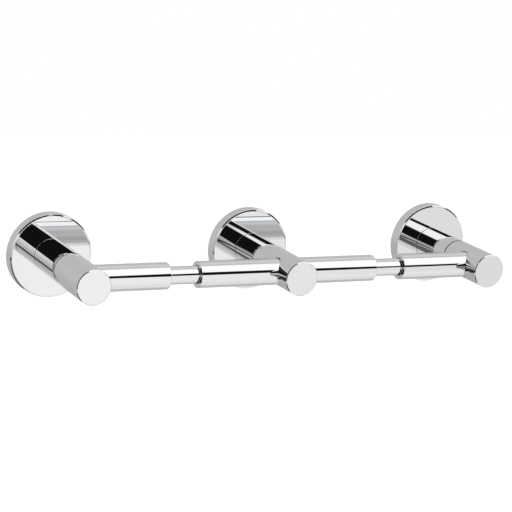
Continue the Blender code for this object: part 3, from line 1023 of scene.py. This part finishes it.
# %% [markdown]
# ## Effects that the finishes share
# No real surface is one even value. Handling leaves a slight haze on polish, plating drifts in
# colour, a mould leaves a fine grain, and a lathe leaves lines round a screw. Each effect is a group
# that puts out a number or a colour, and each finish uses it with its own values.

# %% Build the shared effects
WIPE_FINENESS = 14.0
HAZE_CONTRAST = 3.2
HAZE_START = 0.35
COARSE_SCALE = 0.12


def make_drift():
    """Base colour that wanders a little, as plating and mouldings do."""
    tree, given, out = new_group(
        "Colour drift",
        [("Colour", "Color", (0.8, 0.8, 0.8, 1)), ("Amount", "Float", 0.03), ("Scale", "Float", 60.0)],
        [("Colour", "Color")],
    )
    place = add(tree, "ShaderNodeTexCoord").outputs["Object"]
    wander = noise(tree, place, given["Scale"], 3.0)
    centred = sums(tree, "SUBTRACT", wander, 0.5)
    change = sums(tree, "MULTIPLY_ADD", centred, given["Amount"], 1.0)
    scale = add(tree, "ShaderNodeVectorMath", operation="SCALE")
    tree.links.new(given["Colour"], scale.inputs[0])
    tree.links.new(change, scale.inputs["Scale"])
    tree.links.new(scale.outputs[0], out["Colour"])
    return tree


def make_haze():
    """Roughness between two values, in soft patches with finer wipe marks in them."""
    tree, given, out = new_group(
        "Handling haze",
        [("Clear", "Float", 0.03), ("Hazy", "Float", 0.06), ("Scale", "Float", 45.0)],
        [("Roughness", "Float")],
    )
    place = add(tree, "ShaderNodeTexCoord").outputs["Object"]
    patches = noise(tree, place, given["Scale"], 2.0)
    fine = noise(tree, place, sums(tree, "MULTIPLY", given["Scale"], WIPE_FINENESS), 4.0)
    both = sums(tree, "MULTIPLY", patches, fine)
    share = sums(tree, "MULTIPLY_ADD", both, HAZE_CONTRAST, -HAZE_START, clamp=True)
    reach = sums(tree, "SUBTRACT", given["Hazy"], given["Clear"])
    tree.links.new(sums(tree, "MULTIPLY_ADD", share, reach, given["Clear"]), out["Roughness"])
    return tree


def make_grain():
    """Height of a fine random grain, coarse and fine together."""
    tree, given, out = new_group(
        "Fine grain",
        [("Scale", "Float", 2500.0), ("Coarse", "Float", 0.3)],
        [("Height", "Float")],
    )
    place = add(tree, "ShaderNodeTexCoord").outputs["Object"]
    fine = noise(tree, place, given["Scale"], 2.0)
    coarse = noise(tree, place, sums(tree, "MULTIPLY", given["Scale"], COARSE_SCALE), 2.0)
    tree.links.new(sums(tree, "MULTIPLY_ADD", coarse, given["Coarse"], fine), out["Height"])
    return tree


def make_turning_lines():
    """Height of the fine lines that a tool leaves round a turned piece, along its axis."""
    tree, given, out = new_group(
        "Turning lines",
        [("Axis", "Vector", (1.0, 0.0, 0.0)), ("Lines", "Float", 9000.0)],
        [("Height", "Float")],
    )
    along = add(tree, "ShaderNodeVectorMath", operation="DOT_PRODUCT")
    tree.links.new(add(tree, "ShaderNodeTexCoord").outputs["Object"], along.inputs[0])
    tree.links.new(given["Axis"], along.inputs[1])
    lines = add(tree, "ShaderNodeTexNoise", noise_dimensions="1D")
    tree.links.new(along.outputs["Value"], lines.inputs["W"])
    tree.links.new(given["Lines"], lines.inputs["Scale"])
    lines.inputs["Detail"].default_value = 2.0
    tree.links.new(lines.outputs[0], out["Height"])
    return tree


DRIFT = make_drift()
HAZE = make_haze()
GRAIN = make_grain()
TURNING = make_turning_lines()
print("shared effects:", [group.name for group in (DRIFT, HAZE, GRAIN, TURNING)])

# %% [markdown]
# ## Finishes
# Polished chrome is a mirror: white metal with almost no roughness, and a ripple of a few microns
# that makes its reflections waver a little. Die-cast zinc is a satin metal with a grain. Steel shows
# turning lines. Nylon is not metal, and its moulded skin scatters the light softly.

# %% Make the finishes
NYLON_IOR = 1.53


def new_finish(name, colour, metallic, drift, drift_scale):
    material = bpy.data.materials.new(name)
    material.use_nodes = True
    tree = material.node_tree
    shader = tree.nodes["Principled BSDF"]
    shader.inputs["Metallic"].default_value = metallic
    wander = use_group(tree, DRIFT, Colour=(*colour, 1), Amount=drift, Scale=drift_scale)
    tree.links.new(wander.outputs["Colour"], shader.inputs["Base Color"])
    return material, tree, shader


def give_haze(tree, shader, clear, hazy, scale):
    haze = use_group(tree, HAZE, Clear=clear, Hazy=hazy, Scale=scale)
    tree.links.new(haze.outputs["Roughness"], shader.inputs["Roughness"])


def give_bump(tree, shader, height, depth):
    bump = add(tree, "ShaderNodeBump")
    bump.inputs["Strength"].default_value = 1.0
    bump.inputs["Distance"].default_value = depth
    tree.links.new(height, bump.inputs["Height"])
    tree.links.new(bump.outputs["Normal"], shader.inputs["Normal"])


def polished_chrome():
    material, tree, shader = new_finish("polished_chrome", (0.868, 0.876, 0.886), metallic=1.0,
                                        drift=0.02, drift_scale=40.0)
    give_haze(tree, shader, clear=0.008, hazy=0.022, scale=45.0)
    ripple = use_group(tree, GRAIN, Scale=420.0, Coarse=6.0)
    give_bump(tree, shader, ripple.outputs["Height"], 0.0004 * MM)
    return material


def cast_zinc():
    material, tree, shader = new_finish("cast_zinc", (0.62, 0.62, 0.60), metallic=1.0,
                                        drift=0.16, drift_scale=220.0)
    give_haze(tree, shader, clear=0.32, hazy=0.5, scale=160.0)
    grain = use_group(tree, GRAIN, Scale=2600.0, Coarse=1.2)
    give_bump(tree, shader, grain.outputs["Height"], 0.02 * MM)
    return material


def turned_steel(name, axis):
    material, tree, shader = new_finish(name, (0.56, 0.56, 0.57), metallic=1.0, drift=0.08,
                                        drift_scale=300.0)
    give_haze(tree, shader, clear=0.2, hazy=0.34, scale=300.0)
    lines = use_group(tree, TURNING, Axis=axis, Lines=9000.0)
    give_bump(tree, shader, lines.outputs["Height"], 0.008 * MM)
    return material


def moulded_nylon(name, colour, clear, hazy):
    material, tree, shader = new_finish(name, colour, metallic=0.0, drift=0.12, drift_scale=160.0)
    shader.inputs["IOR"].default_value = NYLON_IOR
    give_haze(tree, shader, clear, hazy, scale=220.0)
    grain = use_group(tree, GRAIN, Scale=5200.0, Coarse=0.6)
    give_bump(tree, shader, grain.outputs["Height"], 0.012 * MM)
    return material


FINISHES = {
    "chrome": polished_chrome(),
    "zinc": cast_zinc(),
    "steel": turned_steel("turned_steel", (0.0, 1.0, 0.0)),
    "black_nylon": moulded_nylon("black_nylon", (0.022, 0.022, 0.023), clear=0.38, hazy=0.52),
    "grey_nylon": moulded_nylon("grey_nylon", (0.35, 0.36, 0.37), clear=0.42, hazy=0.56),
}
FINISHES_BY_ENDING = {
    "_set_screw_threaded": turned_steel("turned_steel_upright", (0.0, 0.0, 1.0)),
    "_spring_wound": turned_steel("spring_wire", (0.3, 1.0, 0.5)),
}


def finish_for(piece):
    for ending, finish in FINISHES_BY_ENDING.items():
        if piece.name.endswith(ending):
            return finish
    return FINISHES[piece["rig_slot"]]


for piece in made:
    piece.data.materials.clear()
    piece.data.materials.append(finish_for(piece))
print("pieces finished:", len(made), "of", len(frame["nodes"]), "nodes")

# %% [markdown]
# The joint line of an end post is a fine groove. Plating and polish hardly reach into it, and little
# light gets in. Its walls take a second finish whose near-black colour is partly dull plating and
# partly painted shade.

# %% Dull the joint lines, with painted shade
GROOVE_ROUGHNESS = 0.7
GROOVE_SLANT = 0.2


def groove_metal():
    # Painted shade: the near-black base colour stands in for the shade inside the groove, as well as its
    # dull plating.
    material, tree, shader = new_finish("groove_metal", (0.035, 0.035, 0.036), metallic=0.0,
                                        drift=0.2, drift_scale=300.0)
    shader.inputs["Roughness"].default_value = GROOVE_ROUGHNESS
    return material


def in_groove(face):
    """Whether a face lies at the joint line and slants, which the bar's side doesn't."""
    return abs(-face.center.y - GROOVE_OUT) < GROOVE_HALF and abs(face.normal.y) >= GROOVE_SLANT


GROOVE_PAINTED_SHADE = groove_metal()
for side in ("left", "right"):
    mesh = posts[side].data
    # The groove walls take the painted shade finish.
    mesh.materials.append(GROOVE_PAINTED_SHADE)
    walls = [face for face in mesh.polygons if in_groove(face)]
    for face in walls:
        face.material_index = 1
    print(side, "joint line faces:", len(walls))

# %% [markdown]
# ## The studio in the metal
# Chrome has hardly any colour of its own. What is seen on it is the room: a white sheet overhead, a
# dark gap in front, where the camera stands, a pale table and a grey backdrop, with a black screen and
# dark cards on the left. So the studio is drawn on the sky as a tone for each direction, and the metal
# mirrors it. Tilt goes round the rollers' axis: 0 is straight out from the wall, 90 is overhead, and
# 180 is the wall. Azimuth goes from the same 0 to the right, and elevation goes up from the level.

# %% Helpers for the studio
def tone_by(tree, angle, stops, reach):
    """Tone from a ramp over an angle that goes from minus to plus the reach, in degrees."""
    place = sums(tree, "MULTIPLY_ADD", angle, 1 / (2 * reach), 0.5)
    return steps_of_grey(tree, place, [(degrees / (2 * reach) + 0.5, tone) for degrees, tone in stops])


def edge_by(tree, angle, corners):
    """Where an edge is, from its corners (angle, place). A ramp holds 0 to 1, so it is scaled back."""
    places = [place for degrees, place in corners]
    lowest = min(places)
    span = max(places) - lowest
    share = tone_by(tree, angle, [(degrees, (place - lowest) / span) for degrees, place in corners], 90)
    return sums(tree, "MULTIPLY_ADD", share, span, lowest)


def past(tree, value, edge, softness):
    """From 0 to 1 as the value passes the edge."""
    return sums(tree, "MULTIPLY_ADD", sums(tree, "SUBTRACT", value, edge), 1 / softness, 0.5, clamp=True)


def band(tree, value, centre, half, softness):
    """1 where the value is within half of the centre, with soft ends."""
    away = sums(tree, "ABSOLUTE", sums(tree, "SUBTRACT", value, centre))
    return past(tree, half, away, softness)


# %% [markdown]
# Most of what the metal shows depends on tilt alone, since the rollers lie along the row. One ramp
# gives the tone at each tilt: the pale table below, the front, the bright sheet overhead and the
# greyer backdrop. A little shade lies over the front on the right, which the flat faces mirror.

# %% Tone of the room, with some shade on the right
TILT_TONES = [
    (-180, 0.55), (-155, 0.46), (-142, 0.44), (-119, 0.53), (-99, 0.56), (-95, 0.62), (-92, 0.80),
    (-63, 0.85), (-43, 0.92), (-15, 0.98), (9, 0.97), (26, 1.02), (32, 1.14), (84, 1.14),
    (91, 0.62), (96, 0.50), (103, 0.66), (111, 0.74), (122, 0.68), (134, 0.58), (152, 0.53),
    (170, 0.56), (180, 0.55),
]
SIDE_SHADE = 0.19
SHADE_BY_AZIMUTH = [(-90, 0), (20, 0), (36, 1), (90, 1)]
SHADE_BY_TILT = [(-180, 0), (-45, 0), (-20, 1), (7, 1), (10, 0), (180, 0)]


def room_tone(tree, tilt, azimuth):
    tone = tone_by(tree, tilt, TILT_TONES, 180)
    shade = sums(tree, "MULTIPLY", tone_by(tree, azimuth, SHADE_BY_AZIMUTH, 90),
                 tone_by(tree, tilt, SHADE_BY_TILT, 180))
    return sums(tree, "MULTIPLY", tone, sums(tree, "MULTIPLY_ADD", shade, -SIDE_SHADE, 1.0))


print("brightest and darkest tone by tilt:", max(TILT_TONES, key=lambda stop: stop[1]),
      min(TILT_TONES, key=lambda stop: stop[1]))

# %% [markdown]
# The front on the left has tones of its own, with a grey band below the level. They show where the
# metal mirrors twice, such as on the left side of a post, which mirrors its flange. Two soft edges
# blend them in, so that no line shows.

# %% The front on the left, by elevation
LEFT_TONES = [
    (-90, 0.80), (-33, 0.76), (-26, 0.60), (-20, 0.50), (-14, 0.49), (-6, 0.61), (-3, 0.70),
    (1, 0.78), (5, 0.93), (8, 0.95), (30, 1.02), (34, 1.14), (90, 1.14),
]
LEFT_EDGE = 6.0
LEFT_SOFTNESS = 26.0
AHEAD_EDGE = 0.1
AHEAD_SOFTNESS = 0.2


def with_left_front(tree, tone, azimuth, elevation, ahead):
    on_left = past(tree, LEFT_EDGE, azimuth, LEFT_SOFTNESS)
    in_front = past(tree, ahead, AHEAD_EDGE, AHEAD_SOFTNESS)
    share = sums(tree, "MULTIPLY", on_left, in_front)
    return blend_to(tree, tone, tone_by(tree, elevation, LEFT_TONES, 90), share)


print("the left front fades out over", LEFT_SOFTNESS, "degrees of azimuth")

# %% [markdown]
# The rollers mirror the dark gap as the black stripe along their length. Its bottom and its top are
# two ramps over azimuth, so its outline can bend, and it closes at both ends where the top falls
# below the bottom.

# %% The dark gap, as corners (azimuth, elevation)
GAP_BOTTOM = [
    (-90, 12), (-44, 12), (-37, 5), (-27, 7), (0, 10), (20, 12), (22.5, 9), (24.5, 6.5), (28, 6),
    (31, 6.5), (34, 7), (40, 6), (90, 6),
]
GAP_TOP = [
    (-90, 9), (-44, 9), (-37, 31.5), (0.5, 31.5), (3, 29), (12, 26.3), (17, 25), (21, 24.5),
    (24, 27), (28, 28), (31, 25.5), (33.5, 20), (36, 18), (60, 16), (84, 3), (90, 3),
]
GAP_TONE = 0.006
GAP_SOFTNESS = 1.6


def with_gap(tree, tone, azimuth, elevation):
    above = past(tree, elevation, edge_by(tree, azimuth, GAP_BOTTOM), GAP_SOFTNESS)
    below = past(tree, edge_by(tree, azimuth, GAP_TOP), elevation, GAP_SOFTNESS)
    return blend_to(tree, tone, GAP_TONE, sums(tree, "MULTIPLY", above, below))


print("gap corners:", len(GAP_BOTTOM) + len(GAP_TOP))

# %% [markdown]
# The black screen is a belt of directions that goes round the rollers' axis, so its edges are
# distances to the side and not angles. The near edge changes with elevation: the belt is thin about
# the level and wide above it. Just below the level it lets some light through, and it ends before the
# wall.

# %% The black screen on the left
SCREEN_NEAR = [
    (-90, -0.38), (-23, -0.38), (-18, -0.43), (-13, -0.52), (4, -0.52), (6, -0.30), (90, -0.30),
]
SCREEN_FAR = -0.57
SCREEN_SOFTNESS = 0.03
SCREEN_BY_TILT = [
    (-180, 0), (-134, 0), (-124, 1), (-34, 1), (-29, 0.6), (1, 0.6), (4, 1), (96, 1), (108, 0), (180, 0),
]


def with_screen(tree, tone, x, tilt, elevation):
    """Darken the directions whose distance to the side, x, is between the screen's edges."""
    past_near = past(tree, edge_by(tree, elevation, SCREEN_NEAR), x, SCREEN_SOFTNESS)
    before_far = past(tree, x, SCREEN_FAR, SCREEN_SOFTNESS)
    across = sums(tree, "MULTIPLY", past_near, before_far)
    share = sums(tree, "MULTIPLY", across, tone_by(tree, tilt, SCREEN_BY_TILT, 180))
    return blend_to(tree, tone, GAP_TONE, share)


print("screen corners:", len(SCREEN_NEAR))

# %% [markdown]
# The dark outlines of the post ends and flanges are reflections too. A bevel is seen as a line, and
# each part of that line mirrors another direction. The bevels of the post ends mirror a tall card on
# the far left, and the left flange's bevel mirrors a narrow strip that bends down towards the front.
# The far card has an opening below the level, which keeps flat faces light from the right and above.

# %% The far card
FAR_CARD_AZIMUTH = -62.0
FAR_CARD_HALF = 16.0
FAR_CARD_SOFTNESS = 4.0
FAR_CARD_BY_ELEVATION = [
    (-90, 0), (-50, 0), (-44, 1), (-34, 1), (-30, 0), (-18, 0), (-16, 1), (46, 1), (52, 0), (90, 0),
]
FAR_CARD_TONE = 0.10


def with_far_card(tree, tone, azimuth, elevation):
    across = band(tree, azimuth, FAR_CARD_AZIMUTH, FAR_CARD_HALF, FAR_CARD_SOFTNESS)
    up = tone_by(tree, elevation, FAR_CARD_BY_ELEVATION, 90)
    return blend_to(tree, tone, FAR_CARD_TONE, sums(tree, "MULTIPLY", across, up))


print("the far card is", 2 * FAR_CARD_HALF, "degrees wide")

# %% The strip, as corners (elevation, azimuth)
STRIP = [
    (-90, 6), (-52, 5), (-49, -1), (-45, -8.5), (-40, -14), (-35, -18.4), (-28, -21.5), (-20, -24),
    (90, -24),
]
STRIP_HALF = 2.5
STRIP_HEIGHT = -34.0
STRIP_REACH = 15.0
STRIP_SOFTNESS = 1.0
STRIP_END_SOFTNESS = 2.0
STRIP_TONE = 0.10


def with_strip(tree, tone, azimuth, elevation):
    across = band(tree, azimuth, edge_by(tree, elevation, STRIP), STRIP_HALF, STRIP_SOFTNESS)
    up = band(tree, elevation, STRIP_HEIGHT, STRIP_REACH, STRIP_END_SOFTNESS)
    return blend_to(tree, tone, STRIP_TONE, sums(tree, "MULTIPLY", across, up))


print("the strip is", 2 * STRIP_HALF, "degrees wide")

# %% The small cards, as (first and last azimuth, middle height, thickness, tone)
CARDS = [
    (-40, -14, -16.2, 3.8, 0.03),
    (-36, -26, -7.6, 1.6, 0.45),
    (-46, 0, 58, 20, 0.10),
    (-76, -27, -57, 24, 0.05),
]
CARD_SOFTNESS = 1.0
CARD_END_SOFTNESS = 2.0


def with_cards(tree, tone, azimuth, elevation):
    for first, last, height, thickness, card_tone in CARDS:
        up = band(tree, elevation, height, thickness / 2, CARD_SOFTNESS)
        across = band(tree, azimuth, (first + last) / 2, (last - first) / 2, CARD_END_SOFTNESS)
        tone = blend_to(tree, tone, card_tone, sums(tree, "MULTIPLY", up, across))
    return tone


print("small cards:", len(CARDS))

# %% [markdown]
# All these parts go into one shader group, laid one over the other: the room first, and the small
# cards last. The group has a named input and output, so the sky and the floor can both use it.

# %% Build the studio's tones as a group
def make_studio():
    tree, given, out = new_group(
        "Studio tones",
        [("Direction", "Vector", (0, -1, 0))],
        [("Tone", "Float")],
    )
    unit = add(tree, "ShaderNodeVectorMath", operation="NORMALIZE")
    tree.links.new(given["Direction"], unit.inputs[0])
    parts = add(tree, "ShaderNodeSeparateXYZ")
    tree.links.new(unit.outputs[0], parts.inputs[0])
    x, y, z = parts.outputs
    ahead = sums(tree, "MULTIPLY", y, -1.0)
    tilt = sums(tree, "DEGREES", sums(tree, "ARCTAN2", z, ahead))
    azimuth = sums(tree, "DEGREES", sums(tree, "ARCTAN2", x, ahead))
    elevation = sums(tree, "DEGREES", sums(tree, "ARCSINE", z))
    tone = room_tone(tree, tilt, azimuth)
    tone = with_left_front(tree, tone, azimuth, elevation, ahead)
    tone = with_gap(tree, tone, azimuth, elevation)
    tone = with_screen(tree, tone, x, tilt, elevation)
    tone = with_far_card(tree, tone, azimuth, elevation)
    tone = with_strip(tree, tone, azimuth, elevation)
    tone = with_cards(tree, tone, azimuth, elevation)
    tree.links.new(tone, out["Tone"])
    return tree


STUDIO = make_studio()
print("studio nodes:", len(STUDIO.nodes))

# %% [markdown]
# The sky gives light and reflections from the studio's tones. The camera itself looks past the
# object at plain white, as in a catalogue: where the ray comes from the camera, the sky is white.

# %% Light the scene with the sky
WHITE = 1.0


def make_sky():
    world = bpy.data.worlds.new("studio")
    world.use_nodes = True
    tree = world.node_tree
    tree.nodes.clear()
    place = add(tree, "ShaderNodeTexCoord")
    studio = use_group(tree, STUDIO)
    tree.links.new(place.outputs["Generated"], studio.inputs["Direction"])
    path = add(tree, "ShaderNodeLightPath")
    tone = blend_to(tree, studio.outputs["Tone"], WHITE, path.outputs["Is Camera Ray"])
    light = add(tree, "ShaderNodeBackground")
    tree.links.new(tone, light.inputs["Color"])
    tree.links.new(light.outputs[0], add(tree, "ShaderNodeOutputWorld").inputs["Surface"])
    bpy.context.scene.world = world


make_sky()
bpy.context.scene.view_settings.view_transform = "Standard"
print("view transform:", bpy.context.scene.view_settings.view_transform)

# %% [markdown]
# ## The floor
# The holder hangs on a wall, so the floor is far below it. It is plain and pale, and takes the
# object's faint shadow. A little light of its own, seen by the camera only, lifts it to the white of
# the backdrop. In the metal it has the tone that the studio gives that direction, so no edge shows.

# %% Make the floor
FLOOR_HEIGHT = -1.5
FLOOR_HALF = 8.0
FLOOR_COLOUR = 0.8
FLOOR_ROUGHNESS = 0.9
FLOOR_LIFT = 0.6


def make_floor():
    mesh = bpy.data.meshes.new("floor")
    signs = ((-1, -1), (1, -1), (1, 1), (-1, 1))
    corners = [(x * FLOOR_HALF, y * FLOOR_HALF, FLOOR_HEIGHT) for x, y in signs]
    mesh.from_pydata(corners, [], [(0, 1, 2, 3)])
    floor = new_piece("floor", mesh)
    material = bpy.data.materials.new("pale_floor")
    material.use_nodes = True
    tree = material.node_tree
    shader = tree.nodes["Principled BSDF"]
    shader.inputs["Base Color"].default_value = (FLOOR_COLOUR, FLOOR_COLOUR, FLOOR_COLOUR, 1)
    shader.inputs["Roughness"].default_value = FLOOR_ROUGHNESS
    shader.inputs["Emission Color"].default_value = (1, 1, 1, 1)
    path = add(tree, "ShaderNodeLightPath")
    lift = sums(tree, "MULTIPLY", path.outputs["Is Camera Ray"], FLOOR_LIFT)
    tree.links.new(lift, shader.inputs["Emission Strength"])
    studio = use_group(tree, STUDIO)
    tree.links.new(add(tree, "ShaderNodeNewGeometry").outputs["Position"], studio.inputs["Direction"])
    seen = add(tree, "ShaderNodeEmission")
    tree.links.new(studio.outputs["Tone"], seen.inputs["Color"])
    mirrored = sums(tree, "MAXIMUM", path.outputs["Is Glossy Ray"], path.outputs["Is Transmission Ray"])
    mix = add(tree, "ShaderNodeMixShader")
    tree.links.new(mirrored, mix.inputs[0])
    tree.links.new(shader.outputs[0], mix.inputs[1])
    tree.links.new(seen.outputs[0], mix.inputs[2])
    tree.links.new(mix.outputs[0], tree.nodes["Material Output"].inputs["Surface"])
    mesh.materials.append(material)


make_floor()
print("floor is", -FLOOR_HEIGHT, "m below the holder")
